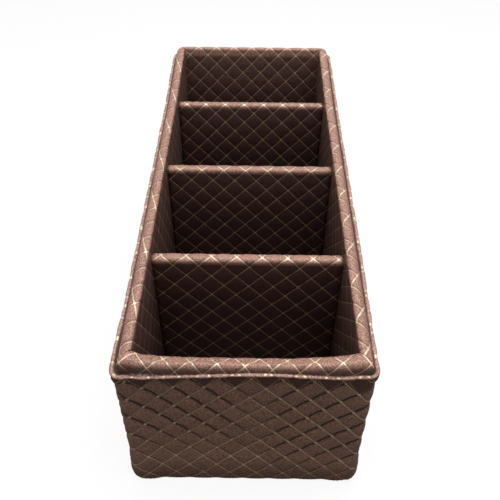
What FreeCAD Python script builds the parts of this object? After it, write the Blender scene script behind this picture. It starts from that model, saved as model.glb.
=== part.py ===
import FreeCAD, Part
import math
import os
import Sketcher
from FreeCAD import Placement, Rotation, Vector

# Remote control holder: a box of stiff boards wrapped in diamond quilted leatherette.
# Its rim climbs from front to rear and three padded dividers make four pockets.
# Millimetres, X to the right, Y to the rear, Z up, origin under the middle of the base.

SIZES = (
    ("holder_width", 109.6, "across the folded hem, side to side"),
    ("front_height", 86.0, "crest line of the rim over the front face"),
    ("rear_height", 129.7, "crest line of the rim over the rear face"),
    ("front_pocket", 52.2, "clear depth of the first pocket"),
    ("second_pocket", 59.5, "clear depth of the second pocket"),
    ("third_pocket", 56.3, "clear depth of the third pocket"),
    ("rear_pocket", 44.5, "clear depth of the last pocket"),
    ("wall_board", 3.5, "thickness of the wall boards"),
    ("divider_board", 3.5, "thickness of the divider boards"),
    ("base_board", 3.0, "thickness of the base board"),
    ("leatherette", 1.2, "thickness of one layer of leatherette"),
    ("divider_drop", 6.4, "divider crest below the rim crest"),
    ("hem_drop", 6.4, "folded hem below the rim crest, outside"),
    ("hem_height", 2.0, "height of the folded hem"),
    ("hem_lip", 1.6, "how far the hem stands out from the cover"),
    ("hem_round", 0.8, "rounding of the folded edge"),
    ("rim_lap", 12.0, "length of the rim lining hidden behind the cover"),
    ("turn_under", 12.0, "width of cover turned in under the base"),
    ("skirt_corner", 2.8, "upright corner rounding of the cover"),
    ("rim_corner", 3.4, "upright corner rounding of the rim"),
    ("rim_inner_round", 1.6, "rounding of the padded rim on its pocket side"),
    ("rim_outer_round", 4.1, "rounding of the padded rim on its outer side"),
    ("cover_diamond", 12.9, "diamond of the cover, point to point"),
    ("lining_diamond", 12.2, "diamond of the linings, point to point"),
    ("pillow", 0.6, "rise of each diamond above its creases"),
    ("quilt_margin", 0.8, "plain edge left round a quilted face"),
    ("fit_gap", 0.3, "gap round the base cloth"),
)

doc = FreeCAD.newDocument("remote_holder")
sizes = doc.addObject("Spreadsheet::Sheet", "sizes")
for row, (alias, number, meaning) in enumerate(SIZES, 1):
    sizes.set(f"A{row}", meaning)
    sizes.set(f"B{row}", str(number))
    sizes.setAlias(f"B{row}", alias)
doc.recompute()


def value(expression):
    """The number that an expression on the sheet gives now."""
    return float(sizes.evalExpression(expression))


# Layers of one wall from the outside in: hem lip, cover, rim lap, board, lining.
half_width = "(sizes.holder_width / 2)"
skirt_inset = "(sizes.hem_lip)"
rim_inset = "(sizes.hem_lip + sizes.leatherette)"
board_inset = "(sizes.hem_lip + 2 * sizes.leatherette)"
rim_roll = "(2 * sizes.leatherette + sizes.wall_board)"
wall = f"({rim_inset} + {rim_roll})"
divider = "(2 * sizes.leatherette + sizes.divider_board)"
pockets = ("front_pocket", "second_pocket", "third_pocket", "rear_pocket")
clear = "(" + " + ".join("sizes." + pocket for pocket in pockets) + ")"
half_depth = f"(({clear} + 2 * {wall} + {len(pockets) - 1} * {divider}) / 2)"
climb = f"((sizes.rear_height - sizes.front_height) / (2 * {half_depth}))"
board_foot = "(sizes.leatherette + sizes.base_board)"
floor = f"({board_foot} + sizes.leatherette)"


def rim_crest(drop="0"):
    """Height of the rising rim at a depth y, less a drop."""
    return lambda y: f"(sizes.front_height + {climb} * ({half_depth} + ({y})) - ({drop}))"


def level(height):
    """A height that is the same at every depth."""
    return lambda y: f"({height})"


def across(side, inset, thickness):
    """Both X faces of a layer that lies inset from the left or right of the hem."""
    if side == "left":
        return f"{inset} - {half_width}", f"{inset} + {thickness} - {half_width}"
    return f"{half_width} - {inset} - {thickness}", f"{half_width} - {inset}"


def along(end, inset, thickness):
    """Both Y faces of a layer that lies inset from the front or rear of the hem."""
    if end == "front":
        return f"{inset} - {half_depth}", f"{inset} + {thickness} - {half_depth}"
    return f"{half_depth} - {inset} - {thickness}", f"{half_depth} - {inset}"


def outline(body, name, plane, corners):
    """A closed outline on one of the body's own planes, each corner tied to the sheet."""
    sketch = body.newObject("Sketcher::SketchObject", name)
    support = [item for item in body.Origin.OriginFeatures if item.Role == plane][0]
    sketch.AttachmentSupport = (support, "")
    sketch.MapMode = "FlatFace"
    points = [Vector(value(x), value(y), 0) for x, y in corners]
    last = len(points) - 1
    for number, point in enumerate(points):
        following = points[0] if number == last else points[number + 1]
        sketch.addGeometry(Part.LineSegment(point, following), False)
    for number in range(len(points)):
        following = 0 if number == last else number + 1
        sketch.addConstraint(Sketcher.Constraint("Coincident", number, 2, following, 1))
    for number, (x, y) in enumerate(corners):
        for kind, expression in (("DistanceX", x), ("DistanceY", y)):
            limit = Sketcher.Constraint(kind, -1, 1, number, 1, value(expression))
            place = sketch.addConstraint(limit)
            sketch.setExpression(f"Constraints[{place}]", expression)
    return sketch


def edges_along(shape, direction, upper_only, toward):
    """Names of the edges that run along a direction: all, only the upper ones, or only the
    upper one that lies furthest toward a side."""
    found = []
    for number, edge in enumerate(shape.Edges, 1):
        run = edge.tangentAt(edge.FirstParameter)
        if abs(run.dot(direction)) > 0.95:
            if not upper_only or edge.CenterOfMass.z > shape.CenterOfGravity.z:
                found.append((edge.CenterOfMass.dot(toward), f"Edge{number}"))
    furthest = max(reach for reach, name in found)
    return [name for reach, name in found if reach > furthest - 0.01]


def rounded(body, feature, direction, radius, upper_only=True, toward=Vector(0, 0, 0)):
    """Rounds the body's edges that run along a direction."""
    doc.recompute()
    solid = body.Tip
    fillet = body.newObject("PartDesign::Fillet", feature)
    fillet.Base = (solid, edges_along(solid.Shape, direction, upper_only, toward))
    fillet.setExpression("Radius", radius)
    body.Tip = fillet


def slab(name, x_faces, y_faces, bottom, top):
    """An upright block whose foot and top may slope from front to rear."""
    body = doc.addObject("PartDesign::Body", name)
    near, far = y_faces
    reach = f"({far}) - ({near})"
    corners = (
        ("0", bottom(near)),
        (reach, bottom(far)),
        (reach, top(far)),
        ("0", top(near)),
    )
    sketch = outline(body, name + "_side", "YZ_Plane", corners)
    pad = body.newObject("PartDesign::Pad", name + "_pad")
    pad.Profile = sketch
    pad.setExpression("Length", f"({x_faces[1]}) - ({x_faces[0]})")
    body.Tip = pad
    body.setExpression("Placement.Base.x", x_faces[0])
    body.setExpression("Placement.Base.y", near)
    return body


def block(name, x_faces, y_faces, z_faces):
    """A plain rectangular block."""
    item = doc.addObject("Part::Box", name)
    sides = (("Length", "x", x_faces), ("Width", "y", y_faces), ("Height", "z", z_faces))
    for size, axis, (low, high) in sides:
        item.setExpression(size, f"({high}) - ({low})")
        item.setExpression("Placement.Base." + axis, low)
    return item


def cut(name, base, tool):
    item = doc.addObject("Part::Cut", name)
    item.Base = base
    item.Tool = tool
    return item


def joined(name, pieces):
    item = doc.addObject("Part::MultiFuse", name)
    item.Shapes = pieces
    return item


def shared(name, pieces):
    item = doc.addObject("Part::MultiCommon", name)
    item.Shapes = pieces
    return item


# Diamond quilting. Creases run at 45 degrees both ways, and each diamond between them
# rises to a low point, as padded leatherette does between two welded lines.
crease_gap = 0.05
quilt_root = 0.3
headroom = 1.0
crease_angle = 45.0


def creased_blank(reach, spacing, rise):
    """A sheet with one family of creases, each ridge halfway between two of them."""
    count = math.ceil(reach / 2 / spacing) + 1
    foot = -rise - crease_gap - quilt_root
    points = [Vector(-count * spacing, 0, foot)]
    for number in range(-count, count):
        points.append(Vector(number * spacing, 0, -rise))
        points.append(Vector((number + 0.5) * spacing, 0, 0))
    points.append(Vector(count * spacing, 0, -rise))
    points.append(Vector(count * spacing, 0, foot))
    points.append(points[0])
    section = Part.Face(Part.makePolygon(points))
    section.translate(Vector(0, -reach / 2, 0))
    return section.extrude(Vector(0, reach, 0))


def prism(corners, low, high):
    """A straight prism over an outline drawn flat."""
    points = [Vector(x, y, low) for x, y in corners]
    return Part.Face(Part.makePolygon(points + points[:1])).extrude(Vector(0, 0, high - low))


def on_wall(shape, facing, distance):
    """Stands a flat drawing up on a wall that faces front, right, rear or left."""
    quarter = {"front": 0, "right": 90, "rear": 180, "left": 270}[facing]
    upright = Rotation(Vector(0, 0, 1), quarter) * Rotation(Vector(1, 0, 0), 90)
    outward = upright.multVec(Vector(0, 0, 1))
    placed = shape.copy()
    placed.Placement = Placement(outward * distance, upright)
    return placed


def quilted(name, base, panels, diamond):
    """Gives flat faces of a covering their diamonds. A panel is the way the face looks,
    its distance from the middle and the corners of its quilted area."""
    rise = value("sizes.pillow")
    spacing = diamond * math.sin(math.radians(crease_angle))
    recesses = []
    sheets = []
    for facing, distance, corners in panels:
        reach = 2 * max(math.hypot(x, y) for x, y in corners) + 2 * diamond
        area = prism(corners, -rise - crease_gap - quilt_root, headroom)
        sheet = area
        for turn in (-crease_angle, crease_angle):
            blank = creased_blank(reach, spacing, rise)
            blank.rotate(Vector(0, 0, 0), Vector(0, 0, 1), turn)
            sheet = sheet.common(blank)
        sheets.append(on_wall(sheet, facing, distance))
        recesses.append(on_wall(prism(corners, -rise - crease_gap, headroom), facing, distance))
    recess = doc.addObject("Part::Feature", name + "_recesses")
    recess.Shape = Part.makeCompound(recesses)
    quilt = doc.addObject("Part::Feature", name + "_quilt")
    quilt.Shape = Part.makeCompound(sheets)
    finished = doc.addObject("Part::Fuse", name)
    finished.Base = cut(name + "_plain_areas", base, recess)
    finished.Tool = quilt
    return finished


def sloped_area(facing, y_faces, bottom, top):
    """Corners of a quilted area on a side wall, as seen by someone facing the wall."""
    turn = 1 if facing == "right" else -1
    near, far = y_faces
    return [
        (turn * value(near), value(bottom(near))),
        (turn * value(far), value(bottom(far))),
        (turn * value(far), value(top(far))),
        (turn * value(near), value(top(near))),
    ]


def level_area(x_reach, bottom, top):
    """Corners of a quilted area on a front or rear wall or on a divider."""
    right, low, high = value(x_reach), value(bottom), value(top)
    return [(-right, low), (right, low), (right, high), (-right, high)]


run_x = Vector(1, 0, 0)
run_y = Vector(0, 1, 0)
run_z = Vector(0, 0, 1)
soft_round = 0.49
parts = {}

# Boards. The side boards run the whole depth, the front and rear boards stand between
# them, and all of them stand on the base board with their top edges rounded over.
whole_x = (f"{board_inset} - {half_width}", f"{half_width} - {board_inset}")
whole_y = (f"{board_inset} - {half_depth}", f"{half_depth} - {board_inset}")
parts["base_board"] = block("base_board", whole_x, whole_y, ("sizes.leatherette", board_foot))
board_top = rim_crest("sizes.leatherette")
board_round = f"{soft_round} * sizes.wall_board"
for side in ("left", "right"):
    faces = across(side, board_inset, "sizes.wall_board")
    board = slab(side + "_board", faces, whole_y, level(board_foot), board_top)
    rounded(board, side + "_board_top", run_y, board_round)
    parts[side + "_board"] = board
inner_board = f"({half_width} - {board_inset} - sizes.wall_board)"
for end in ("front", "rear"):
    faces = along(end, board_inset, "sizes.wall_board")
    middle = f"(({faces[0]}) + ({faces[1]})) / 2"
    top = level(board_top(middle))
    board = slab(end + "_board", ("-" + inner_board, inner_board), faces, level(board_foot), top)
    rounded(board, end + "_board_top", run_x, board_round)
    parts[end + "_board"] = board
doc.recompute()
wall_names = ("left", "right", "front", "rear")
all_boards = joined("wall_boards", [parts[name + "_board"] for name in wall_names])

# Rim linings. Each wall has one strip that covers its inside, rolls over the top of the
# board and laps down the outside, where the cover hides its edge. The pad under the roll
# falls away outward. The strips meet in mitres.
envelope = slab(
    "rim_envelope",
    (f"{rim_inset} - {half_width}", f"{half_width} - {rim_inset}"),
    (f"{rim_inset} - {half_depth}", f"{half_depth} - {rim_inset}"),
    level(board_foot),
    level("2 * sizes.rear_height"),
)
rounded(envelope, "rim_envelope_corners", run_z, "sizes.rim_corner", False)
lap_line = rim_crest("sizes.hem_drop + sizes.rim_lap")
rim_x = f"({half_width} - {rim_inset})"
rim_y = f"({half_depth} - {rim_inset})"
inner_x = f"({half_width} - {wall})"
inner_y = f"({half_depth} - {wall})"


def mitre(name, corners):
    """An upright prism over the part of the plan that one strip covers."""
    body = doc.addObject("PartDesign::Body", name)
    sketch = outline(body, name + "_plan", "XY_Plane", corners)
    pad = body.newObject("PartDesign::Pad", name + "_pad")
    pad.Profile = sketch
    pad.setExpression("Length", "2 * sizes.rear_height")
    body.Tip = pad
    return body


def rolled(body, name, direction, outward):
    """Rounds the top of a wall, tightly on its pocket side and broadly outside."""
    rounded(body, name + "_outside", direction, "sizes.rim_outer_round", True, outward)
    rounded(body, name + "_inside", direction, "sizes.rim_inner_round", True, -outward)


def rim_strip(name, roll, mitre_corners, outer_leg):
    """What is left of a rolled wall once the boards and the part below the lap are gone."""
    blank = shared(name + "_blank", [roll, mitre(name + "_mitre", mitre_corners), envelope])
    return cut(name, cut(name + "_hollow", blank, all_boards), outer_leg)


whole_width = (f"-{half_width}", half_width)
whole_depth = (f"-{half_depth}", half_depth)
for side, sign in (("left", "-"), ("right", "")):
    name = side + "_lining"
    faces = across(side, rim_inset, rim_roll)
    roll = slab(name + "_roll", faces, (f"-{rim_y}", rim_y), level(board_foot), rim_crest())
    rolled(roll, name + "_roll", run_y, run_x * (-1 if side == "left" else 1))
    plan = (
        (f"{sign}{rim_x}", f"-{rim_y}"),
        (f"{sign}{rim_x}", rim_y),
        (f"{sign}{inner_x}", inner_y),
        (f"{sign}{inner_x}", f"-{inner_y}"),
    )
    leg = slab(name + "_leg", across(side, "0", board_inset), whole_depth, level("0"), lap_line)
    parts[name] = rim_strip(name, roll, plan, leg)
for end, sign in (("front", "-"), ("rear", "")):
    name = end + "_lining"
    faces = along(end, rim_inset, rim_roll)
    middle = f"(({faces[0]}) + ({faces[1]})) / 2"
    crest = level(rim_crest()(middle))
    roll = slab(name + "_roll", (f"-{rim_x}", rim_x), faces, level(board_foot), crest)
    rolled(roll, name + "_roll", run_x, run_y * (-1 if end == "front" else 1))
    plan = (
        (f"-{rim_x}", f"{sign}{rim_y}"),
        (rim_x, f"{sign}{rim_y}"),
        (inner_x, f"{sign}{inner_y}"),
        (f"-{inner_x}", f"{sign}{inner_y}"),
    )
    leg = slab(name + "_leg", whole_width, along(end, "0", board_inset), level("0"), lap_line)
    parts[name] = rim_strip(name, roll, plan, leg)

# Dividers. Each is a board with one strip of leatherette folded over its rounded top.
# It stands on the base board and butts against the side linings, a little below the rim.
span = (f"-{inner_x}", inner_x)
near = f"({wall} - {half_depth})"
quilt_foot = f"({floor} + sizes.quilt_margin)"
lining_diamond = value("sizes.lining_diamond")
pocket_faces = []
for place, pocket in zip(("front", "middle", "rear", None), pockets):
    far = f"({near} + sizes.{pocket})"
    pocket_faces.append((near, far))
    if place is None:
        break
    beyond = f"({far} + {divider})"
    name = place + "_divider"
    crest = rim_crest("sizes.divider_drop")(far)
    skin = (f"{far} + sizes.leatherette", f"{beyond} - sizes.leatherette")
    top = level(f"{crest} - sizes.leatherette")
    board = slab(name + "_board", span, skin, level(board_foot), top)
    rounded(board, name + "_board_top", run_x, f"{soft_round} * sizes.divider_board")
    parts[name + "_board"] = board
    roll = slab(name + "_roll", span, (far, beyond), level(board_foot), level(crest))
    rounded(roll, name + "_roll_top", run_x, f"{soft_round} * {divider}")
    fold = cut(name + "_fold", roll, board)
    area = level_area(
        f"{inner_x} - sizes.quilt_margin",
        quilt_foot,
        f"{crest} - {divider} / 2 - sizes.quilt_margin",
    )
    panels = [("front", -value(far), area), ("rear", value(beyond), area)]
    parts[name + "_cover"] = quilted(name + "_cover", fold, panels, lining_diamond)
    near = beyond

# Floor linings, one in each pocket, between the wall linings and the divider covers.
for place, faces in zip(("front", "second", "third", "rear"), pocket_faces):
    name = place + "_floor_lining"
    parts[name] = block(name, span, faces, (board_foot, floor))

# Outer cover. One strip round all four walls: its top edge is folded to a hem below the
# rim, it is backed with foam below the rim lap, and its foot is turned in under the base.
hem_line = rim_crest("sizes.hem_drop")
hem_foot = rim_crest("sizes.hem_drop + sizes.hem_height")
skirt = slab(
    "cover_skirt",
    (f"{skirt_inset} - {half_width}", f"{half_width} - {skirt_inset}"),
    (f"{skirt_inset} - {half_depth}", f"{half_depth} - {skirt_inset}"),
    level("0"),
    rim_crest("sizes.hem_drop + sizes.hem_height / 2"),
)
rounded(skirt, "cover_skirt_corners", run_z, "sizes.skirt_corner", False)
hem = slab("cover_hem", whole_width, whole_depth, hem_foot, hem_line)
rounded(hem, "cover_hem_corners", run_z, "sizes.skirt_corner + sizes.hem_lip", False)
doc.recompute()
hem_solid = hem.Tip
top_face = max(hem_solid.Shape.Faces, key=lambda face: face.normalAt(0, 0).z)
fold_edges = []
for number, edge in enumerate(hem_solid.Shape.Edges, 1):
    if any(edge.isSame(rim_edge) for rim_edge in top_face.Edges):
        fold_edges.append(f"Edge{number}")
hem_fold = hem.newObject("PartDesign::Fillet", "cover_hem_fold")
hem_fold.Base = (hem_solid, fold_edges)
hem_fold.setExpression("Radius", "sizes.hem_round")
hem.Tip = hem_fold
above_rim = rim_crest("-sizes.hem_drop")
inside = slab("cover_inside", whole_x, whole_y, level("sizes.leatherette"), above_rim)
lap_faces = (f"-{rim_x}", rim_x)
lap_room = slab("cover_lap_room", lap_faces, (f"-{rim_y}", rim_y), lap_line, above_rim)
rounded(lap_room, "cover_lap_corners", run_z, "sizes.skirt_corner - sizes.leatherette", False)
sole_x = f"({half_width} - {skirt_inset} - sizes.turn_under)"
sole_y = f"({half_depth} - {skirt_inset} - sizes.turn_under)"
sole_faces = ("-sizes.leatherette", "2 * sizes.leatherette")
opening = block("cover_opening", (f"-{sole_x}", sole_x), (f"-{sole_y}", sole_y), sole_faces)
outside = joined("cover_outside", [skirt, hem])
hollow = joined("cover_hollow", [inside, lap_room, opening])
shell = cut("cover_shell", outside, hollow)
quilt_x = f"({half_width} - {skirt_inset} - sizes.skirt_corner)"
quilt_y = f"({half_depth} - {skirt_inset} - sizes.skirt_corner)"
skirt_side = value(f"{half_width} - {skirt_inset}")
skirt_end = value(f"{half_depth} - {skirt_inset}")
below_hem = "sizes.hem_drop + sizes.hem_height"
foot = "sizes.quilt_margin"
panels = []
for facing in ("left", "right"):
    area = sloped_area(facing, ("-" + quilt_y, quilt_y), level(foot), rim_crest(below_hem))
    panels.append((facing, skirt_side, area))
for facing, end in (("front", f"-{quilt_y}"), ("rear", quilt_y)):
    top = rim_crest(below_hem)(f"-{half_depth}" if facing == "front" else quilt_y)
    panels.append((facing, skirt_end, level_area(quilt_x, foot, top)))
parts["outer_cover"] = quilted("outer_cover", shell, panels, value("sizes.cover_diamond"))

# Base cloth, set inside the turned-in foot of the cover. Both rest on the table.
cloth_x = f"({sole_x} - sizes.fit_gap)"
cloth_y = f"({sole_y} - sizes.fit_gap)"
cloth_faces = (f"-{cloth_x}", cloth_x), (f"-{cloth_y}", cloth_y), ("0", "sizes.leatherette")
parts["base_cloth"] = block("base_cloth", *cloth_faces)

doc.recompute()
for item in doc.Objects:
    if "Invalid" in item.State or "Error" in item.State:
        raise RuntimeError(f"{item.Name} could not be made: {item.State}")
for name, part in parts.items():
    part.Label = name
    shape = part.Shape
    if shape.isNull() or not shape.isValid() or len(shape.Solids) != 1:
        raise RuntimeError(f"{name} is not one sound solid: {len(shape.Solids)} solids")
os.makedirs("parts", exist_ok=True)
for name, part in parts.items():
    part.Shape.exportStep(f"parts/{name}.step")
    box = part.Shape.BoundBox
    reach = f"{box.XLength:.1f} x {box.YLength:.1f} x {box.ZLength:.1f}"
    print(f"{name}: {reach} mm, {part.Shape.Volume:.0f} mm3")
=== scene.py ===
import math

import bpy
import numpy as np
from mathutils import Matrix, Vector


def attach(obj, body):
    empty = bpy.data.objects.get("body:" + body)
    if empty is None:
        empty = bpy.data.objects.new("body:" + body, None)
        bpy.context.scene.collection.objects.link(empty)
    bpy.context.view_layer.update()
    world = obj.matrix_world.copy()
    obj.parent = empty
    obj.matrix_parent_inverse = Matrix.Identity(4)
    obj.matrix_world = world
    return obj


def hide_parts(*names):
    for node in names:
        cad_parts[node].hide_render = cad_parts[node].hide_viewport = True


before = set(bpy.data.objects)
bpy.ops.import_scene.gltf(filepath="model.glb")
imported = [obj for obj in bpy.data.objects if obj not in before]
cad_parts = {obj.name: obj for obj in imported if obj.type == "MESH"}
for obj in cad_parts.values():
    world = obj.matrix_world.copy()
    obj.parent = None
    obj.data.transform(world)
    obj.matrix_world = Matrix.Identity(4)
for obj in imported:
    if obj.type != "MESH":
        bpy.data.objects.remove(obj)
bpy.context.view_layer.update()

# The outer cover. One strip of foam-backed bronze leatherette, pressed with gold diamonds,
# is glued round the four wall boards. Its ends meet at the middle of the back, and its foot
# turns in under the base.
mm = 0.001
half_width = 54.8
half_depth = 123.8
front_height = 86.0
rise_to_rear = 43.7
climb = rise_to_rear / (2 * half_depth)
hem_drop = 6.4
cover_inset = 1.6
cover_x = half_width - cover_inset
cover_y = half_depth - cover_inset
corner_radius = 2.8
corner_arc = corner_radius * math.pi / 2
corner_saving = 1 - math.pi / 4
corner_place = cover_x - corner_radius + corner_arc / 2
corner_reach = 16.0
rear_corner = 2.8
rear_curl = 3.3
strip_half = 2 * (cover_x + cover_y - 2 * corner_saving * corner_radius)
cover_fineness = 7
cover_pillow = 0.5
cover_foot = -3.4


class Lattice:
    """The diamonds pressed in one sheet: a step along each line, and one crossing, in mm."""

    def __init__(self, first, second, crossing):
        self.crossing = crossing
        self.steps = np.array([first, second]).T
        self.unsteps = np.linalg.inv(self.steps)

    def count(self, along, across):
        along = np.asarray(along) - self.crossing[0]
        across = np.asarray(across) - self.crossing[1]
        return self.unsteps[:, :1] * along + self.unsteps[:, 1:] * across

    def place(self, a, b):
        along = self.crossing[0] + self.steps[0, 0] * a + self.steps[0, 1] * b
        return along, self.crossing[1] + self.steps[1, 0] * a + self.steps[1, 1] * b


def ease(low, high, value):
    part = np.clip((np.asarray(value, float) - low) / (high - low), 0, 1)
    return part * part * (3 - 2 * part)


def rear_rise(y):
    """The rim of the real box curls up a little towards its rear corners."""
    return rear_curl * ease(56, 114, y)


def crest_line(y):
    return front_height + climb * (half_depth + y)


def crest(y):
    return crest_line(y) + rear_rise(y)


def read_points(piece):
    points = np.empty(3 * len(piece.data.vertices))
    piece.data.vertices.foreach_get("co", points)
    return points.reshape(-1, 3).T / mm


def write_points(piece, x, y, z):
    points = np.stack(np.broadcast_arrays(x, y, z), -1) * mm
    piece.data.vertices.foreach_set("co", points.ravel())
    piece.data.update()


def corner_points(piece):
    corners = np.empty(len(piece.data.loops), dtype=np.int32)
    piece.data.loops.foreach_get("vertex_index", corners)
    return corners


def face_middles(sheet):
    """The middle of each face, and which face each of the mesh's corners is of."""
    count = len(sheet.data.polygons)
    centres = np.empty(3 * count)
    sheet.data.polygons.foreach_get("center", centres)
    sizes = np.empty(count, dtype=np.int32)
    sheet.data.polygons.foreach_get("loop_total", sizes)
    return centres[0::3] / mm, centres[1::3] / mm, np.repeat(np.arange(count), sizes)


def choose_faces(piece, chosen):
    """Goes into edit mode with these faces of a piece selected and no others."""
    bpy.context.view_layer.objects.active = piece
    bpy.ops.object.mode_set(mode="EDIT")
    bpy.ops.mesh.select_all(action="DESELECT")
    bpy.ops.object.mode_set(mode="OBJECT")
    piece.data.polygons.foreach_set("select", chosen)
    bpy.ops.object.mode_set(mode="EDIT")


def trim(piece, point, outward, within=None, drop=True):
    """Cuts a piece along a plane and drops what lies outward of it, or only adds the cut."""
    if within:
        along = face_middles(piece)[0]
        chosen = (along > within[0]) & (along < within[1])
    else:
        chosen = np.ones(len(piece.data.polygons), bool)
    choose_faces(piece, chosen)
    point = [place * mm for place in point]
    bpy.ops.mesh.bisect(plane_co=point, plane_no=outward, clear_outer=drop, threshold=1e-7)
    bpy.ops.object.mode_set(mode="OBJECT")


def lay_grid(name, columns, rows, size=1):
    """A new flat grid, and where its points lie in it."""
    bpy.ops.object.select_all(action="DESELECT")
    bpy.ops.mesh.primitive_grid_add(x_subdivisions=columns, y_subdivisions=rows, size=size)
    grid = bpy.context.object
    grid.name = grid.data.name = name
    x, y = read_points(grid)[:2] * mm
    return grid, x, y


def press_diamonds(piece, a, b):
    """Keeps where each point lies between the pressed lines, as the piece's UV map."""
    corners = corner_points(piece)
    pressed = piece.data.uv_layers[0]
    pressed.name = "pressed_diamonds"
    pressed.data.foreach_set("uv", np.stack([a[corners], b[corners]], -1).ravel())


def cut_sheet(name, lattice, left, right, low, high, fineness):
    """A flat sheet on the cutting table, whose mesh runs along its own diamonds."""
    a, b = lattice.count([left, right, right, left], [low, low, high, high])
    first_a, first_b = math.floor(a.min()), math.floor(b.min())
    count_a, count_b = math.ceil(a.max()) - first_a, math.ceil(b.max()) - first_b
    sheet, x, y = lay_grid(name, count_a * fineness, count_b * fineness)
    a = first_a + (x + 0.5) * count_a
    b = first_b + (y + 0.5) * count_b
    press_diamonds(sheet, a, b)
    write_points(sheet, *lattice.place(a, b), 0)
    trim(sheet, (left, 0, 0), (-1, 0, 0))
    trim(sheet, (right, 0, 0), (1, 0, 0))
    trim(sheet, (0, low, 0), (0, -1, 0))
    trim(sheet, (0, high, 0), (0, 1, 0))
    return sheet


def cut_size(sheet, lattice):
    """The width, length and area that a finished sheet has on the cutting table, in metres."""
    pressed = np.empty(2 * len(sheet.data.loops))
    sheet.data.uv_layers["pressed_diamonds"].data.foreach_get("uv", pressed)
    along, across = lattice.place(pressed[0::2], pressed[1::2])
    along, across = along * mm, across * mm
    sizes = np.empty(len(sheet.data.polygons), dtype=np.int32)
    sheet.data.polygons.foreach_get("loop_total", sizes)
    following = np.arange(len(along)) + 1
    ends = np.cumsum(sizes)
    following[ends - 1] = ends - sizes
    crossed = along * across[following] - along[following] * across
    area = np.abs(np.add.reduceat(crossed, ends - sizes)).sum() / 2
    return (float(np.ptp(along)), float(np.ptp(across))), float(area)


def pillow(a, b):
    """How far the foam swells between the pressed lines, from 0 on a line to 1."""
    swell_a = 1 - np.abs(2 * (a - np.round(a)))
    swell_b = 1 - np.abs(2 * (b - np.round(b)))
    return (1 - swell_a**3) * (1 - swell_b**3)


def mark_folds(sheet, first, second, shade):
    """Keeps how deep the two creases are, which also sets how dark their painted shadow is, and
    how much painted shade lies there, of each face or of each corner of the mesh."""
    middles = face_middles(sheet)[2]
    folds = sheet.data.attributes.new("folds", "FLOAT_COLOR", "CORNER")
    values = np.ones((len(middles), 4))
    for channel, value in enumerate((first, second, shade)):
        if np.size(value) == len(sheet.data.polygons):
            value = value[middles]
        values[:, channel] = value
    folds.data.foreach_set("color", values.ravel())


def wrap_walls(along, outward, radius=corner_radius):
    """Takes a place on the strip round the four walls, outward mm off their face."""
    side = np.sign(along)
    travel = np.abs(along)
    rear = travel > strip_half / 2
    travel = np.where(rear, strip_half - travel, travel)
    turn = travel - corner_place
    near = np.abs(turn)
    saved = corner_saving * (radius - corner_radius)
    near = near - saved * np.minimum(near / corner_reach, 1)
    half_arc = radius * math.pi / 4
    angle = math.pi / 4 + np.sign(turn) * np.minimum(near, half_arc) / radius
    past = np.maximum(near - half_arc, 0)
    x = cover_x - radius - np.where(turn < 0, past, 0) + (radius + outward) * np.sin(angle)
    y = radius - cover_y + np.where(turn > 0, past, 0) - (radius + outward) * np.cos(angle)
    return side * x, np.where(rear, -y, y)


def depth_of(along):
    """How far back on the part a place along the strip is."""
    return wrap_walls(np.asarray(along, float), 0)[1]


def from_corner(along):
    travel = np.abs(along)
    travel = np.minimum(travel, strip_half - travel)
    return np.abs(travel - corner_place)


# How much higher or lower the hem was pulled along the front, place by place.
hem_places = [-53, -48, -42, -34, -22, -12, -2, 6, 14, 22, 30, 36, 41, 46, 51]
hem_rises = [-1.2, -0.7, -1.5, -1.1, -0.5, 0.1, 0.8, 1.0, 0.9, 0.4, 0, -0.5, -0.3, 0.4, 0.6]


def hem_line(along):
    """The height of the folded hem, which was pulled on by hand and waves a little."""
    front = ease(62, 52, np.abs(along))
    by_hand = np.interp(along, hem_places, hem_rises)
    ripple = 0.22 * np.sin(along / 9.0) + 0.16 * np.sin(along / 4.3 + 1.0)
    return crest(depth_of(along)) - hem_drop + front * by_hand + (1 - front) * ripple


def pull_up(along, up):
    """How far the cover was pulled up or down in its own plane when it was put on."""
    front = ease(62, 50, np.abs(along)) * (0.76 - 0.11 * ((along + 15.8) / 12.9) ** 2)
    return front * ease(0, 30, up) + rear_rise(depth_of(along)) * ease(0, 80, up)


cover_lattice = Lattice((6.775, 6.33), (-6.115, 6.33), (-42.85, 69.5))
low_top = crest_line(-cover_y) - hem_drop + 2.6
high_top = crest_line(cover_y) - hem_drop + 0.4
side_start = cover_x - corner_radius + corner_arc
rear_start = strip_half - side_start
cover = cut_sheet(
    "cover_skin", cover_lattice, -strip_half, strip_half, cover_foot, high_top, cover_fineness
)
for corner in (side_start - corner_arc, side_start, rear_start, rear_start + corner_arc):
    trim(cover, (corner, 0, 0), (1, 0, 0), drop=False)
    trim(cover, (-corner, 0, 0), (1, 0, 0), drop=False)
trim(cover, (0, low_top, 0), (0, 1, 0), within=(-side_start, side_start))
side_top = crest_line(-cover_y) - hem_drop + 0.6
trim(cover, (side_start, side_top, 0), (-climb, 1, 0), within=(side_start, rear_start))
trim(cover, (-side_start, side_top, 0), (climb, 1, 0), within=(-rear_start, -side_start))

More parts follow.
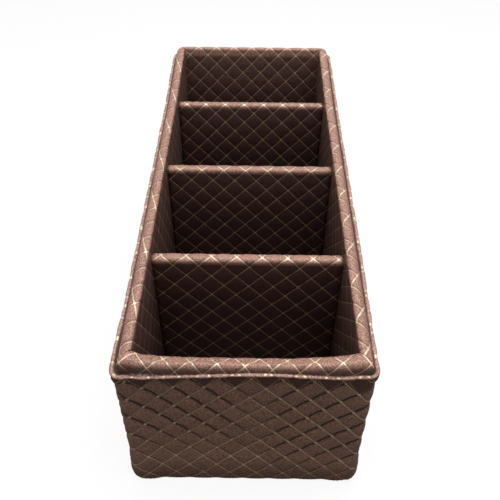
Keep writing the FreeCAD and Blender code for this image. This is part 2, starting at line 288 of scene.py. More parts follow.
along, up = face_middles(cover)[:2]
a, b = cover_lattice.count(along, up)
cell_along, cell_up = cover_lattice.place(np.floor(a) + 0.5, np.floor(b) + 0.5)
below_hem = hem_line(cell_along) - cell_up - pull_up(cell_along, cell_up)
on_front = ease(62, 50, np.abs(along))
cut_by_hem = 3.4 + 4.6 * on_front
# Painted shadow in the creases: on the front, the lines running one way are darkened on the left
# half and the other way on the right half; round the sides and back the two vary in strength from
# place to place.
leaning_left = ease(20, -12, along) * ease(2, 44, up)
leaning_right = ease(-4, 18, along) * ease(-14, 30, up)
wander = 0.5 + 0.4 * np.sin(along / 31.0) * np.sin(up / 23.0 + along / 50.0)
# Painted shade: the diamonds cut by the hem, deeper on the front, take the shaded colour in full,
# and the lowest 20 mm of the walls take it in part, more towards the foot.
mark_folds(
    cover,
    on_front * leaning_left + (1 - on_front) * wander,
    on_front * leaning_right + (1 - on_front) * (1.0 - wander),
    np.maximum(ease(cut_by_hem + 0.4, cut_by_hem - 0.4, below_hem), 0.55 * ease(20, 2, up)),
)
along, up = read_points(cover)[:2]
a, b = cover_lattice.count(along, up)
pulled = pull_up(along, up)
room = hem_line(along) - up - pulled
near_corner = ease(16, 2, from_corner(along))
at_front_left = ease(-30, -60, along) * ease(-90, -60, along)
swell = cover_pillow * (0.55 + 0.45 * ease(8, 50, up)) * (pillow(a, b) - 1)
flare = 0.5 * ease(7.0, 0.5, room) + 0.6 * near_corner * ease(12, 1, room)
flare = flare + near_corner * (0.75 + 1.0 * at_front_left) + 1.1 * ease(26, 7, up)
flare = np.minimum(flare, 1.5 + 0.6 * at_front_left + 0.8 * ease(2, 8, room))
foot_radius = 0.8 + 1.9 * ease(9, 1.5, from_corner(along))
under = np.clip((foot_radius - up) / foot_radius, 0, math.pi / 2)
inward = foot_radius * (1 - np.cos(under))
inward = inward + np.maximum(foot_radius * (1 - math.pi / 2) - up, 0)
lift = np.where(up < foot_radius, foot_radius * (1 - np.sin(under)), up + pulled)
radius = corner_radius + 1.1 * ease(10, 2, up)
radius = radius + rear_corner * (np.abs(along) > strip_half / 2) * ease(40, 110, up)
x, y = wrap_walls(along, swell + flare - inward, radius)
write_points(cover, x, y, np.minimum(lift + 0.05, hem_line(along) - 0.5))


class Wire:
    """A socket of a finish that can be added up like a number."""

    def __init__(self, finish, socket):
        self.finish, self.socket = finish, socket

    def math(self, operation, *others):
        return self.finish.math(operation, self, *others)

    def __add__(self, other):
        return self.math("ADD", other)

    def __sub__(self, other):
        return self.math("SUBTRACT", other)

    def __rsub__(self, other):
        return self.finish.math("SUBTRACT", other, self)

    def __mul__(self, other):
        return self.math("MULTIPLY", other)

    __radd__, __rmul__ = __add__, __mul__


class Finish:
    """A procedural finish, put together from nodes."""

    def __init__(self, name):
        self.material = bpy.data.materials.new(name)
        self.material.use_nodes = True
        self.tree = self.material.node_tree
        self.surface = self.tree.nodes["Principled BSDF"]

    def feed(self, socket, value):
        if isinstance(value, Wire):
            self.tree.links.new(value.socket, socket)
        else:
            socket.default_value = value

    def node(self, kind, settings=None, outlet=0, **values):
        node = self.tree.nodes.new(kind)
        for name, setting in (settings or {}).items():
            setattr(node, name, setting)
        for name, value in values.items():
            place = int(name[1:]) if name[1:].isdigit() else name.replace("_", " ")
            self.feed(node.inputs[place], value)
        return Wire(self, node.outputs[outlet])

    def outlets(self, kind, **values):
        node = self.node(kind, **values).socket.node
        return [Wire(self, socket) for socket in node.outputs]

    def math(self, operation, *values):
        inputs = {f"i{place}": value for place, value in enumerate(values)}
        return self.node("ShaderNodeMath", {"operation": operation}, **inputs)

    def ease(self, low, high, value):
        settings = {"interpolation_type": "SMOOTHSTEP"}
        return self.node("ShaderNodeMapRange", settings, Value=value, From_Min=low, From_Max=high)

    def tint(self, part, first, second, blend="MIX"):
        settings = {"data_type": "RGBA", "blend_type": blend}
        return self.node("ShaderNodeMix", settings, outlet=2, i0=part, i6=first, i7=second)

    def look(self, **values):
        for name, value in values.items():
            self.feed(self.surface.inputs[name.replace("_", " ")], value)


def leatherette(name, leather, shaded, gold, shaded_gold, line, crease_shade, doubled=False):
    """Pebbled bronze leatherette with pressed gold lines. Painted shadow darkens it along the
    lines and in arched strokes beside its folds, and where painted shade lies it takes its
    shaded colour and its shaded gold. The lines of a doubled one part in two where it lies
    wholly in shade, under the hem."""
    finish = Finish(name)
    pressed = finish.node("ShaderNodeUVMap", {"uv_map": "pressed_diamonds"})
    a, b = finish.outlets("ShaderNodeSeparateXYZ", i0=pressed)[:2]
    folds = finish.node("ShaderNodeAttribute", {"attribute_name": "folds"})
    fold_shadow_a, fold_shadow_b, shade = finish.outlets("ShaderNodeSeparateColor", i0=folds)[:3]
    place = finish.node("ShaderNodeTexCoord", outlet=3)
    slow = finish.node("ShaderNodeTexNoise", Vector=place, Scale=160.0)

    def off_line(count):
        return count - (count + 0.5).math("FLOOR")

    def arch(count):
        return (count.math("FRACT") * math.pi).math("SINE")

    off_a, off_b = off_line(a), off_line(b)
    arch_a, arch_b = arch(b), arch(a)
    stroke_a = finish.ease(0.05, 0.35, arch_a) * fold_shadow_a
    stroke_b = finish.ease(0.05, 0.35, arch_b) * fold_shadow_b
    uneven = 0.03 + slow * 0.08
    dark_a = finish.ease(0.12, 0.065, (off_a - arch_a * uneven).math("ABSOLUTE")) * stroke_a
    dark_b = finish.ease(0.12, 0.065, (off_b - arch_b * uneven).math("ABSOLUTE")) * stroke_b
    strokes = dark_a.math("MAXIMUM", dark_b)
    # Where painted shade lies, the gold lines are drawn narrower and take the shaded gold.
    width = line * (1 - shade * 0.35)
    core = width * 0.5
    gold_a = finish.ease(width, core, off_a.math("ABSOLUTE")) * (1 - stroke_a)
    gold_b = finish.ease(width, core, off_b.math("ABSOLUTE")) * (1 - stroke_b)
    gold_b = gold_b * (1 - fold_shadow_a * 0.5)
    lines = gold_a.math("MAXIMUM", gold_b)
    if doubled:
        in_a, in_b = a.math("FRACT"), b.math("FRACT")
        second_a = finish.ease(width, core, (in_a - in_b * 0.17 - 0.02).math("ABSOLUTE"))
        second_b = finish.ease(width, core, (in_b - in_a * 0.17 - 0.02).math("ABSOLUTE"))
        second = second_a.math("MAXIMUM", second_b) * finish.ease(0.9, 1.0, shade)
        lines = lines.math("MAXIMUM", second * 0.8)
    thin = finish.ease(0.11, 0.0, off_a.math("ABSOLUTE").math("MINIMUM", off_b.math("ABSOLUTE")))

    pebble = finish.node("ShaderNodeTexVoronoi", Vector=place, Scale=1900.0)
    speckle = finish.node("ShaderNodeTexNoise", Vector=place, Scale=1750.0, Detail=1.0)
    cloud = finish.node("ShaderNodeTexNoise", Vector=place, Scale=70.0, Detail=3.0)
    cell = finish.node("ShaderNodeCombineXYZ", i0=a.math("FLOOR"), i1=b.math("FLOOR"))
    by_cell = finish.node("ShaderNodeTexWhiteNoise", Vector=cell)
    level = 0.56 + finish.ease(0.34, 0.66, speckle) * 0.84 + (cloud - 0.5) * 0.16
    level = level + (by_cell - 0.5) * 0.06 - pebble * 0.24
    body = finish.tint(shade, leather, shaded)
    grey = finish.node("ShaderNodeCombineColor", i0=level, i1=level, i2=level)
    body = finish.tint(1.0, body, grey, "MULTIPLY")
    # Painted shadow: dark along every pressed line, and in an arched stroke beside each fold,
    # where the swollen diamond above overhangs the crease.
    shadow = (thin * crease_shade).math("MAXIMUM", strokes)
    body = finish.tint(shadow, body, (0.022, 0.009, 0.006, 1))
    # Painted highlight: near each crossing of two lines the gold is laid on in full, as a glint.
    near_a = finish.ease(0.17, 0.03, off_a.math("ABSOLUTE"))
    crossing = near_a * finish.ease(0.17, 0.03, off_b.math("ABSOLUTE"))
    worn = finish.ease(0.3, 0.75, finish.node("ShaderNodeTexNoise", Vector=place, Scale=420.0))
    ink = finish.tint(shade, gold, shaded_gold)
    gold_and_glint = lines * (0.56 + worn * 0.34 + crossing * 0.3)
    body = finish.tint(gold_and_glint.math("MINIMUM", 1.0), body, ink)
    height = speckle * 0.06 - pebble * 0.05 - thin * 0.10 - strokes * 0.24
    bump = finish.node("ShaderNodeBump", Height=height, Strength=0.8, Distance=0.001)
    roughness = 0.5 + worn * 0.08 - lines * 0.12 + strokes * 0.4
    finish.look(Base_Color=body, Roughness=roughness, Metallic=lines * 0.35, Normal=bump)
    return finish.material


def put_on(piece, finish):
    """Gives a piece its finish and fixes it to the body."""
    piece.data.shade_smooth()
    piece.data.materials.append(finish)
    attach(piece, "root")


cover_finish = leatherette(
    "cover_leatherette",
    leather=(0.222, 0.115, 0.077, 1),
    shaded=(0.058, 0.019, 0.012, 1),
    gold=(0.63, 0.46, 0.29, 1),
    shaded_gold=(0.52, 0.32, 0.17, 1),
    line=0.045,
    crease_shade=0.4,
    doubled=True,
)
put_on(cover, cover_finish)
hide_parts("outer_cover")

# The turned-in foot. The lower edge of the cover is turned in under the base board on all
# four sides and glued flat, with the corners folded over each other.
turned_in = 12.0
foot_x, foot_y = cover_x - 2.6, cover_y - 2.6
sole_x, sole_y = cover_x - turned_in, cover_y - turned_in
foot = cut_sheet("turned_in_foot", cover_lattice, -foot_x, foot_x, -foot_y, foot_y, 5)
for end in (-1, 1):
    trim(foot, (end * sole_x, 0, 0), (1, 0, 0), drop=False)
    trim(foot, (0, end * sole_y, 0), (0, 1, 0), drop=False)
x, y = face_middles(foot)[:2]
choose_faces(foot, (np.abs(x) < sole_x) & (np.abs(y) < sole_y))
bpy.ops.mesh.delete(type="FACE")
bpy.ops.object.mode_set(mode="OBJECT")
x, y = read_points(foot)[:2]
a, b = cover_lattice.count(x, y)
over_corner = ease(1.4, 0.2, np.abs((foot_x - np.abs(x)) - (foot_y - np.abs(y))))
cut_off = np.clip(np.abs(x) - foot_x + np.abs(y) - foot_y + 4.0, 0, None) / 2
write_points(
    foot,
    x - np.sign(x) * cut_off,
    y - np.sign(y) * cut_off,
    0.32 - 0.2 * pillow(a, b) + 0.12 * over_corner,
)
foot.data.flip_normals()
mark_folds(foot, 0.0, 0.0, 0.0)
put_on(foot, cover_finish)

# The folded hem. The top of the cover is folded over and pressed down, which leaves a thin
# rounded lip all the way round, a little thicker where it is folded at the corners.
hem_rows = 12
hem_columns = 1100
hem_turn = 0.9
lip_middle = 0.58
lip_reach = 0.9
lip_rise = 0.62


def closed_strip(name, columns, rows):
    """A strip as long as the way round the walls, and how far along and up its points are."""
    strip, x, y = lay_grid(name, columns, rows)
    return strip, x * 2 * strip_half, y + 0.5


def hem_radius_of(along):
    return corner_radius + rear_corner * (np.abs(along) > strip_half / 2)


def stretched_out(along):
    """How far the lip stands out more at the front left corner and along the right side."""
    corner = 0.85 * ease(-30, -60, along) * ease(-90, -60, along)
    return corner + 0.45 * ease(70, 110, along) * ease(300, 240, along)


hem, along, around = closed_strip("folded_hem", hem_columns, hem_rows)
angle = 2 * math.pi * around
middle = hem_line(along) - lip_rise
press_diamonds(hem, *cover_lattice.count(along, middle + hem_turn * np.sin(angle)))
plump = 1 + 0.10 * np.sin(along / 3.1) + 0.07 * np.sin(along / 1.3 + 2)
at_corner = ease(7, 0, from_corner(along))
a, b = cover_lattice.count(along, middle)
nearest = np.minimum(np.abs(a - np.round(a)), np.abs(b - np.round(b)))
plump = plump - 0.22 * ease(0.12, 0.0, nearest)
outward = lip_middle + lip_reach * (plump + 0.15 * at_corner) * np.cos(angle)
x, y = wrap_walls(along, outward + stretched_out(along), hem_radius_of(along))
write_points(hem, x, y, middle + (lip_rise * plump + 0.2 * at_corner) * np.sin(angle))
bpy.ops.object.mode_set(mode="EDIT")
bpy.ops.mesh.select_all(action="SELECT")
bpy.ops.mesh.remove_doubles(threshold=0.00001)
bpy.ops.mesh.normals_make_consistent(inside=False)
bpy.ops.object.mode_set(mode="OBJECT")
mark_folds(hem, 0.0, 0.0, 0.0)
# Painted light: the hem is given a lighter, pinker copy of the leatherette's colour, as lit from
# above.
hem_finish = leatherette(
    "hem_leatherette",
    leather=(0.37, 0.205, 0.158, 1),
    shaded=(0.10, 0.05, 0.03, 1),
    gold=(0.66, 0.50, 0.34, 1),
    shaded_gold=(0.3, 0.2, 0.12, 1),
    line=0.06,
    crease_shade=0.6,
)
put_on(hem, hem_finish)

# The raw edge. Behind the lip the cut edge of the cover's cloth backing shows as a frayed
# line of grey fibres.
fringe_columns = 2400
tucked_in = 0.75
fringe, along, up = closed_strip("raw_edge", fringe_columns, 3)
rng = np.random.default_rng(7)
thread_ends = rng.uniform(0, 1, fringe_columns + 2)
thread_places = np.linspace(-strip_half, strip_half, fringe_columns + 2)
fray = np.interp(along, thread_places, thread_ends)
patch = ease(0.2, 0.8, 0.5 + 0.5 * np.sin(along / 7.0) * np.sin(along / 3.7 + 1.3))
front = ease(56, 50, np.abs(along))
tall = 0.05 + front * (0.2 + 0.8 * fray * (0.3 + 0.7 * patch))
reach_in = 0.75 - 0.35 * front + 0.1 * fray + 1.6 * ease(9, 2, from_corner(along))
outward = stretched_out(along) * (1 - up) - 0.1 + 0.35 * front - up * reach_in
x, y = wrap_walls(along, outward, hem_radius_of(along))
write_points(fringe, x, y, hem_line(along) - tucked_in + up * (tucked_in + tall))
backing = Finish("raw_backing")
place = backing.node("ShaderNodeTexCoord", outlet=3)
fibre = backing.node("ShaderNodeTexNoise", Vector=place, Scale=1400.0, Detail=2.0)
marks = backing.node("ShaderNodeAttribute", {"attribute_name": "folds"})
loose = backing.outlets("ShaderNodeSeparateColor", i0=marks)[0]
mixed_fibres = backing.ease(0.35, 0.65, fibre) * loose
# Painted shade: away from the front, and between the grey fibres, the edge takes a near-black
# brown, as the shade in the gap behind the lip.
backing.look(
    Base_Color=backing.tint(mixed_fibres, (0.07, 0.035, 0.030, 1), (0.46, 0.38, 0.36, 1)),
    Roughness=0.95,
)
mark_folds(fringe, ease(48, 42, np.abs(face_middles(fringe)[0])), 0.0, 0.0)
put_on(fringe, backing.material)
size, area = cut_size(cover, cover_lattice)

# The wall linings. Each wall has a strip of the same leatherette, which covers its inside,
# rolls over a foam pad on top of the board and laps down outside behind the hem. The strips
# meet in a mitre at the corners.
rim_inset = 2.4
rim_inner = 8.7
inner_round = 1.6
rim_crest_inset = rim_inner - inner_round
rim_corner = 2.7
rim_lap = 6.0
rim_pillow = 0.27
mitre_dip = 0.35
lowest_level = -0.25
floor_top = 5.4
glued_under = 0.4
lining_fineness = 7
lean = math.atan(climb)
roll_middle = rim_inset + 2.95
crest_of_ends = {-1: crest(-half_depth + roll_middle), 1: crest(half_depth - roll_middle)}
# How far the front rim has sagged, place by place.
sag_places = [-54, -46.6, -42.5, -34, -22.6, -11.2, 1.5, 19, 33.3, 42.0, 45.6, 54]
sags = [0, 0.25, 2.9, 3.8, 4.3, 4.3, 4.4, 4.3, 3.0, 1.9, 0.1, 0]


def roll_over(across, reach, roll_drop, squareness):
    """From the inside of a wall, up over its padded top and down outside: inset, rise, the
    way that the leatherette faces, inward and up, and how long the roll is."""
    turn = np.linspace(0, math.pi / 2, 31)
    inner = rim_inner - inner_round * (1 - np.cos(turn))
    outer = rim_crest_inset - reach * np.sin(turn[1:]) ** squareness
    inset = np.concatenate([inner, outer])
    fall = roll_drop * (np.clip(np.cos(turn[1:]), 0, 1) ** squareness - 1)
    rise = np.concatenate([inner_round * (np.sin(turn) - 1), fall])
    travel = np.cumsum(np.concatenate([[0], np.hypot(np.diff(inset), np.diff(rise))]))
    lap = np.clip(across - travel[-1], 0, None)
    drawn_in = rim_inset - (rim_crest_inset - reach)
    place = np.interp(across, travel, inset) + ease(0, 3.0, lap) * drawn_in
    height = np.interp(across, travel, rise) + np.minimum(across, 0) - lap
    step_in = np.interp(across + 0.1, travel, inset) - np.interp(across - 0.1, travel, inset)
    step_up = np.interp(across + 0.1, travel, rise) - np.interp(across - 0.1, travel, rise)
    step_up = step_up + np.where(across < 0, 0.2, 0) - np.where(lap > 0, 0.2, 0)
    length = np.hypot(step_in, step_up)
    return place, height, step_up / length, -step_in / length, travel[-1]


def round_corners(x, y, inset, radius):
    """Draws points near a corner of the plan in to a round one."""
    turn_x = half_width - inset - radius
    turn_y = half_depth - inset - radius
    over_x, over_y = np.abs(x) - turn_x, np.abs(y) - turn_y
    near = (over_x > 0) & (over_y > 0)
    pull = np.maximum(over_x, over_y) / np.maximum(np.hypot(over_x, over_y), 1e-6)
    round_x = np.sign(x) * (turn_x + over_x * pull)
    round_y = np.sign(y) * (turn_y + over_y * pull)
    return np.where(near, round_x, x), np.where(near, round_y, y)


def line_wall(name, lattice, side, end, profile, folds):
    """Cuts and puts on the lining of one wall: side -1 or 1 for left or right, end for
    front or rear."""
    sloped = side != 0
    half_length = half_depth / math.cos(lean) if sloped else half_width
    start = -8.0 if sloped else -half_length
    stop = 2 * half_length + 32.0 if sloped else half_length
    deepest = -90.0 if end == -1 else -140.0
    outside = roll_over(np.zeros(1), *profile)[4]
    sheet = cut_sheet(name, lattice, start, stop, deepest, outside + rim_lap, lining_fineness)
    for fold in (0.8, -0.4, -1.4):
        trim(sheet, (0, fold, 0), (0, 1, 0), drop=False)
    top = ease(-3.0, 1.0, face_middles(sheet)[1])
    low_start = 3.4 if end == 1 else 0.0
    along, across = read_points(sheet)[:2]
    inset, rise, faces_in, faces_up = roll_over(across, *profile)[:4]
    # Painted shade: darker down the inside of the wall, starting lower on the rear wall, and
    # darker still deeper down; on the lap behind the hem; on the front roll's low outer side and,
    # lightly, its top; and along the mitres. The fold weights set the painted shadow along the
    # creases on the rim.
    inside = ease(0.8, -1.4, across + low_start)
    deep = np.sqrt(np.clip(-across / 75.0, 0, 1))
    lap = ease(outside - 1.5, outside + 2.0, across)
    shade = inside * (0.75 + 0.25 * deep) + 0.6 * lap
    if end == -1:
        shade = np.maximum(shade, 0.8 * ease(outside - 5.2, outside - 1.8, across))
        shade = np.maximum(shade, 0.3 * ease(3.2, 0.4, across))
    if not sloped:
        to_mitre = np.abs(half_width - np.abs(along) - inset)
        shade = np.maximum(shade, 0.9 * ease(1.1, 0.3, to_mitre) * ease(-1, 1, across))
    mark_folds(sheet, folds[0] * top, folds[1] * top, shade[corner_points(sheet)])
    a, b = lattice.count(along, across)
    if sloped:
        x = side * (half_width - inset)
        y = -half_depth + along * math.cos(lean) - rise * math.sin(lean)
        z = front_height + along * math.sin(lean) + rise * math.cos(lean)
        z = z + rear_rise(y) * ease(-90, 0, across)
        for near in (-1, 1):
            fade = ease(half_depth - 18, half_depth - 7, near * y)
            level = np.maximum(crest_of_ends[near] - crest(near * np.abs(y)), lowest_level)
            z = z + fade * level * ease(-30, 0, across)
    else:
        x = along
        y = end * (half_depth - inset)
        z = crest_of_ends[end] + rise
        if end == -1:
            fullness = 0.45 + 0.55 * ease(3.0, 6.0, inset)
            z = z - np.interp(x, sag_places, sags) * fullness * ease(-40, 0, across)
    seam = np.abs((half_width - np.abs(x)) - (half_depth - np.abs(y))) / math.sqrt(2)
    sink = rim_pillow * (pillow(a, b) - 1) * ease(0.3, 2.0, seam)
    sink = sink * (1 - 0.6 * ease(outside - 4.0, outside - 1.0, across))
    sink = sink - mitre_dip * ease(2.2, 0.0, seam) * ease(-6, 0, across)
    if sloped:
        x = x - side * sink * faces_in
    else:
        y = y - end * sink * faces_in
    z = z + sink * faces_up
    at_rear = 2.2 * (y > 0) * ease(-4.5, -1.0, rise)
    x, y = round_corners(x, y, rim_inset, rim_corner + at_rear)
    write_points(sheet, x, y, z)
    handed = side if sloped else -end
    if np.linalg.det(lattice.steps) * handed > 0:
        sheet.data.flip_normals()
    for near in (-1, 1):
        if sloped:
            trim(sheet, (side * half_width, near * half_depth, 0), (-side, near, 0))
        else:
            trim(sheet, (near * half_width, end * half_depth, 0), (near, -end, 0))
    trim(sheet, (0, 0, floor_top - glued_under), (0, 0, -1))
    put_on(sheet, lining_finish)
    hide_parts(name.split("_")[0] + "_lining")
    size, area = cut_size(sheet, lattice)


# Painted light: the linings, divider wraps and floor sheets are given a lighter copy of the
# leatherette's colour and a brighter gold than the cover, as on the lit rims and divider tops;
# their shaded colour is painted shade, taken inside the pockets.
lining_finish = leatherette(
    "lining_leatherette",
    leather=(0.335, 0.170, 0.124, 1),
    shaded=(0.033, 0.0095, 0.0095, 1),
    gold=(0.82, 0.64, 0.44, 1),
    shaded_gold=(0.46, 0.285, 0.175, 1),
    line=0.05,
    crease_shade=0.6,
)
front_lattice = Lattice((6.0, -5.8), (-5.11, -7.15), (-22.3, 4.9))
rear_lattice = Lattice((6.1, 6.1), (-6.1, 6.1), (0.0, 3.0))
left_lattice = Lattice((8.5, 3.0), (4.2, -9.85), (21.9, 0.15))
right_lattice = Lattice((6.1, 4.4), (6.7, -8.8), (22.8, 0.6))
# How far a roll reaches outward from its crest, how far it drops there, and how square it is.
front_profile, other_profile = (5.7, 5.8, 0.7), (4.3, 5.0, 0.88)
line_wall("front_rim_and_lining", front_lattice, 0, -1, front_profile, (0.1, 0.1))
line_wall("rear_rim_and_lining", rear_lattice, 0, 1, other_profile, (0.2, 0.2))
line_wall("left_rim_and_lining", left_lattice, -1, 0, other_profile, (0.35, 0.0))
line_wall("right_rim_and_lining", right_lattice, 1, 0, other_profile, (0.35, 0.0))

# The dividers. Three upright boards are wrapped in one strip of leatherette each, up the
# front, over a padded top and down the back, and glued between the side walls.
divider_faces = {"front": (-62.9, -57.0), "middle": (2.5, 8.4), "rear": (64.7, 70.6)}
divider_half = 46.2
end_radius = 1.8
divider_squareness = 0.6
divider_lattices = {
    "front": Lattice((6.23, 6.0), (-6.0, 6.23), (0.84, -1.7)),
    "middle": Lattice((6.16, 6.07), (-6.07, 6.16), (-38.85, 2.0)),
    "rear": Lattice((6.115, 6.115), (-6.115, 6.115), (2.0, -3.0)),
}
for name, (near, far) in divider_faces.items():
    lattice = divider_lattices[name]
    top = crest(near) - hem_drop
    radius = (far - near) / 2
    fold = math.pi * radius
    depth = top - radius - floor_top + glued_under
    wrap = cut_sheet(
        name + "_divider_wrap", lattice, -divider_half, divider_half, -depth, depth + fold, 7
    )
    for line in (-0.6, 0.8, fold - 0.8, fold + 0.6):
        trim(wrap, (0, line, 0), (0, 1, 0), drop=False)
    # Painted shade: the faces of the divider take the shaded colour, a little more further down,
    # and only the padded top keeps the lighter colour; the top also has a faint painted shadow
    # along its creases.
    across = face_middles(wrap)[1]
    on_top = 0.15 * ease(2.0, -1.0, np.maximum(-across, across - fold))
    along, across = read_points(wrap)[:2]
    down = np.maximum(-across, across - fold)
    pocket_shade = ease(-0.8, 0.6, down) * (0.93 + 0.07 * np.sqrt(np.clip(down / 60, 0, 1)))
    mark_folds(wrap, on_top, on_top, pocket_shade[corner_points(wrap)])
    a, b = lattice.count(along, across)
    angle = np.clip(across / radius, 0, math.pi)
    over = np.clip(across - fold, 0, None)
    rise = radius * (np.sin(angle) - 1) + np.minimum(across, 0) - over
    sink = 0.3 * (pillow(a, b) - 1)
    end_round = np.clip((np.abs(along) - divider_half + end_radius) / end_radius, 0, 1)
    narrow = np.sqrt(np.clip(1 - end_round**2, 0, 1))
    boxy_out = np.sign(np.cos(angle)) * np.abs(np.cos(angle)) ** divider_squareness
    boxy_rise = np.clip(np.sin(angle), 0, 1) ** divider_squareness - np.sin(angle)
    y = (near + far) / 2 - (radius + sink) * boxy_out * (0.66 + 0.34 * narrow)
    z = top + rise + radius * boxy_rise + sink * np.sin(angle)
    z = z - (1 - narrow) * ease(-3, 0, rise + radius)
    write_points(wrap, along, y, z)
    put_on(wrap, lining_finish)
    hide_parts(name + "_divider_cover")

# The floor linings. A piece of the same leatherette as on the walls is cut to the size of
# each of the four pockets and glued flat on the base board.
floor_half = 46.1
floor_spans = {
    "front": (-115.1, -62.9),
    "second": (-57.0, 2.5),
    "third": (8.4, 64.7),
    "rear": (70.6, 115.1),
}
floor_lattice = Lattice((6.1, 6.1), (-6.1, 6.1), (0.0, 0.0))
for name, (near, far) in floor_spans.items():
    floor_sheet = cut_sheet(
        name + "_floor_sheet", floor_lattice, -floor_half, floor_half, near, far, 5
    )
    # Painted shade: the floor sheets take the shaded colour all over.
    mark_folds(floor_sheet, 0.0, 0.0, 1.0)
    x, y = read_points(floor_sheet)[:2]
    a, b = floor_lattice.count(x, y)
    write_points(floor_sheet, x, y, floor_top + 0.2 * (pillow(a, b) - 1))
    put_on(floor_sheet, lining_finish)
    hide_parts(name + "_floor_lining")
    size, area = cut_size(floor_sheet, floor_lattice)

# The boards. The base, the walls and the dividers are cut from grey pressed-paper board,
# stand glued to each other edge to face, and lie wholly inside the leatherette.
board_finish = Finish("grey_board")
place = board_finish.node("ShaderNodeTexCoord", outlet=3)
pulp = board_finish.node("ShaderNodeTexNoise", Vector=place, Scale=900.0, Detail=4.0)
board_finish.look(
    Base_Color=board_finish.tint(pulp, (0.20, 0.18, 0.15, 1), (0.34, 0.31, 0.27, 1)),
    Roughness=0.9,
)
for name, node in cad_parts.items():
    if name.endswith("_board"):
        node.data.materials.clear()
        node.data.materials.append(board_finish.material)

# The front board. The same grey board, glued between the side walls. Its top edge has been
# pressed down in the middle, where a hand reaches in over it, and the padded roll has sunk
# with it.
ends = [node.matrix_world @ Vector(end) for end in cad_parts["front_board"].bound_box]
low_end, high_end = np.array(ends).min(0) / mm, np.array(ends).max(0) / mm
bpy.ops.object.select_all(action="DESELECT")
bpy.ops.mesh.primitive_cube_add(size=1)
sunk_board = bpy.context.object
sunk_board.name = sunk_board.data.name = "sunk_front_board"
bpy.ops.object.mode_set(mode="EDIT")
bpy.ops.mesh.subdivide(number_cuts=30)
bpy.ops.object.mode_set(mode="OBJECT")
x, y, z = read_points(sunk_board) * mm + 0.5
x = low_end[0] + x * (high_end[0] - low_end[0])
z = low_end[2] + z * (high_end[2] - low_end[2])
worn_off = 0.9 * ease(high_end[2] - 2.5, high_end[2], z)
y = low_end[1] + worn_off + y * (high_end[1] - low_end[1] - 2 * worn_off)
pressed_down = np.interp(x, sag_places, sags) * ease(high_end[2] - 40, high_end[2], z)
pressed_down = pressed_down + 0.8 * ease(high_end[2] - 3.0, high_end[2] - 0.5, z)
write_points(sunk_board, x, y, z - pressed_down)
put_on(sunk_board, board_finish.material)
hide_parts("front_board")

# The base cloth. A dark felted cloth, glued under the base board inside the turned-in foot
# of the cover.
cloth_thickness = 0.9
cloth_x, cloth_y = sole_x - 0.3, sole_y - 0.3
cloth, x, y = lay_grid("base_felt", 90, 240, size=2)
ragged = 0.25 * np.sin(x * 19 + y * 47) + 0.15 * np.sin(x * 83 - y * 31)
shrink_x = 1 - np.maximum(0, np.abs(x) - 0.97) / 0.03 * (0.3 + ragged) / cloth_x
shrink_y = 1 - np.maximum(0, np.abs(y) - 0.99) / 0.01 * (0.3 + ragged) / cloth_y
ripple = 0.06 * np.sin(x * 7.0 + 1.5 * np.sin(y * 9.0)) + 0.05 * np.sin(y * 23.0 + x * 4.0)
write_points(cloth, x * cloth_x * shrink_x, y * cloth_y * shrink_y, 0.15 + ripple)
cloth.data.flip_normals()
bpy.ops.object.modifier_add(type="SOLIDIFY")
cloth.modifiers["Solidify"].thickness = cloth_thickness * mm
cloth.modifiers["Solidify"].offset = -1
bpy.ops.object.modifier_apply(modifier="Solidify")
felt = Finish("base_felt")
place = felt.node("ShaderNodeTexCoord", outlet=3)
tangle = felt.node("ShaderNodeTexNoise", Vector=place, Scale=1600.0, Detail=4.0)
tufts = felt.node("ShaderNodeTexNoise", Vector=place, Scale=240.0, Detail=2.0)
fibres = felt.ease(0.35, 0.7, tangle * 0.7 + tufts * 0.3)
raised = felt.node("ShaderNodeBump", Height=tangle + tufts, Strength=0.7, Distance=0.0006)
felt.look(
    Base_Color=felt.tint(fibres, (0.030, 0.022, 0.020, 1), (0.105, 0.082, 0.075, 1)),
    Roughness=0.95,
    Normal=raised,
)
put_on(cloth, felt.material)
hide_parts("base_cloth")

# The studio. A pale floor, a white surround, one large soft lamp overhead and the camera,
# which stands where the photo was taken from.
bpy.ops.object.select_all(action="DESELECT")
bpy.ops.mesh.primitive_plane_add(size=12)
ground = bpy.context.object
ground.name = "studio_floor"
paper = Finish("studio_paper")
rays = paper.node("ShaderNodeLightPath").socket.node
seen = Wire(paper, rays.outputs["Is Camera Ray"])
paper.look(Base_Color=(0.9, 0.9, 0.9, 1), Roughness=1.0)
glow = paper.node("ShaderNodeEmission", i0=(1, 1, 1, 1), i1=1.0)
dim = paper.node("ShaderNodeBsdfDiffuse", i0=(0.14, 0.13, 0.125, 1))
lit = Wire(paper, paper.surface.outputs[0])
bright = paper.node("ShaderNodeMixShader", i0=0.88, i1=lit, i2=glow)
shown = paper.node("ShaderNodeMixShader", i0=seen, i1=dim, i2=bright)
paper.tree.links.new(shown.socket, paper.tree.nodes["Material Output"].inputs[0])
ground.data.materials.append(paper.material)

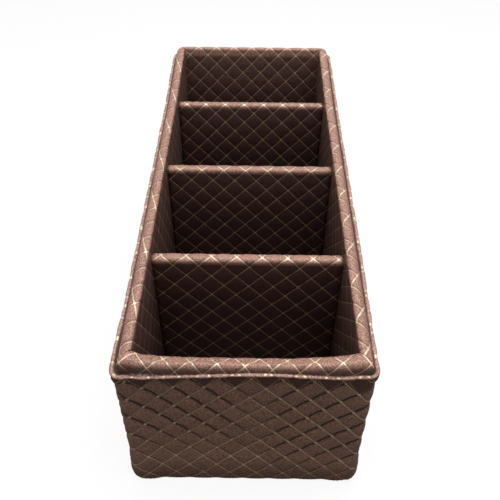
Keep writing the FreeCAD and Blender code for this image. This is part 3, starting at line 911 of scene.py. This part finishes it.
world = bpy.data.worlds.new("studio")
bpy.context.scene.world = world
world.use_nodes = True
nodes, links = world.node_tree.nodes, world.node_tree.links
surround = nodes["Background"]
surround.inputs[0].default_value = (1, 1, 1, 1)
surround.inputs[1].default_value = 0.4
backdrop = nodes.new("ShaderNodeBackground")
backdrop.inputs[0].default_value = (1, 1, 1, 1)
backdrop.inputs[1].default_value = 1.0
rays = nodes.new("ShaderNodeLightPath")
either = nodes.new("ShaderNodeMixShader")
mirrored = nodes.new("ShaderNodeMath")
mirrored.operation = "MAXIMUM"
clear = nodes.new("ShaderNodeMath")
clear.operation = "MAXIMUM"
links.new(rays.outputs["Is Camera Ray"], mirrored.inputs[0])
links.new(rays.outputs["Is Glossy Ray"], mirrored.inputs[1])
links.new(mirrored.outputs[0], clear.inputs[0])
links.new(rays.outputs["Is Transmission Ray"], clear.inputs[1])
links.new(clear.outputs[0], either.inputs[0])
links.new(surround.outputs[0], either.inputs[1])
links.new(backdrop.outputs[0], either.inputs[2])
links.new(either.outputs[0], nodes["World Output"].inputs[0])

lamp_place, lamp_aim = Vector((0.1, 0.02, 1.1)), Vector((0, 0, 0.08))
lamp = bpy.data.lights.new("overhead", "AREA")
lamp.shape = "SQUARE"
lamp.size = 0.9
lamp.energy = 15.0
softbox = bpy.data.objects.new("overhead", lamp)
bpy.context.scene.collection.objects.link(softbox)
softbox.location = lamp_place
softbox.rotation_euler = (lamp_aim - lamp_place).to_track_quat("-Z", "Y").to_euler()

camera = bpy.data.cameras.new("camera")
focal_pixels, photo_pixels = 536.6, 500
camera.sensor_width = 36.0
camera.lens = focal_pixels / photo_pixels * camera.sensor_width
camera.clip_start = 0.01
viewer = bpy.data.objects.new("camera", camera)
bpy.context.scene.collection.objects.link(viewer)
stand = (0.0027, -0.2599, 0.2534)
pitch, yaw, bank = math.radians(38.52), math.radians(0.45), math.radians(0.43)
viewer.matrix_world = (
    Matrix.Translation(stand)
    @ Matrix.Rotation(yaw, 4, "Z")
    @ Matrix.Rotation(math.pi / 2 - pitch, 4, "X")
    @ Matrix.Rotation(bank, 4, "Z")
)
bpy.context.scene.camera = viewer
bpy.context.scene.view_settings.view_transform = "Standard"
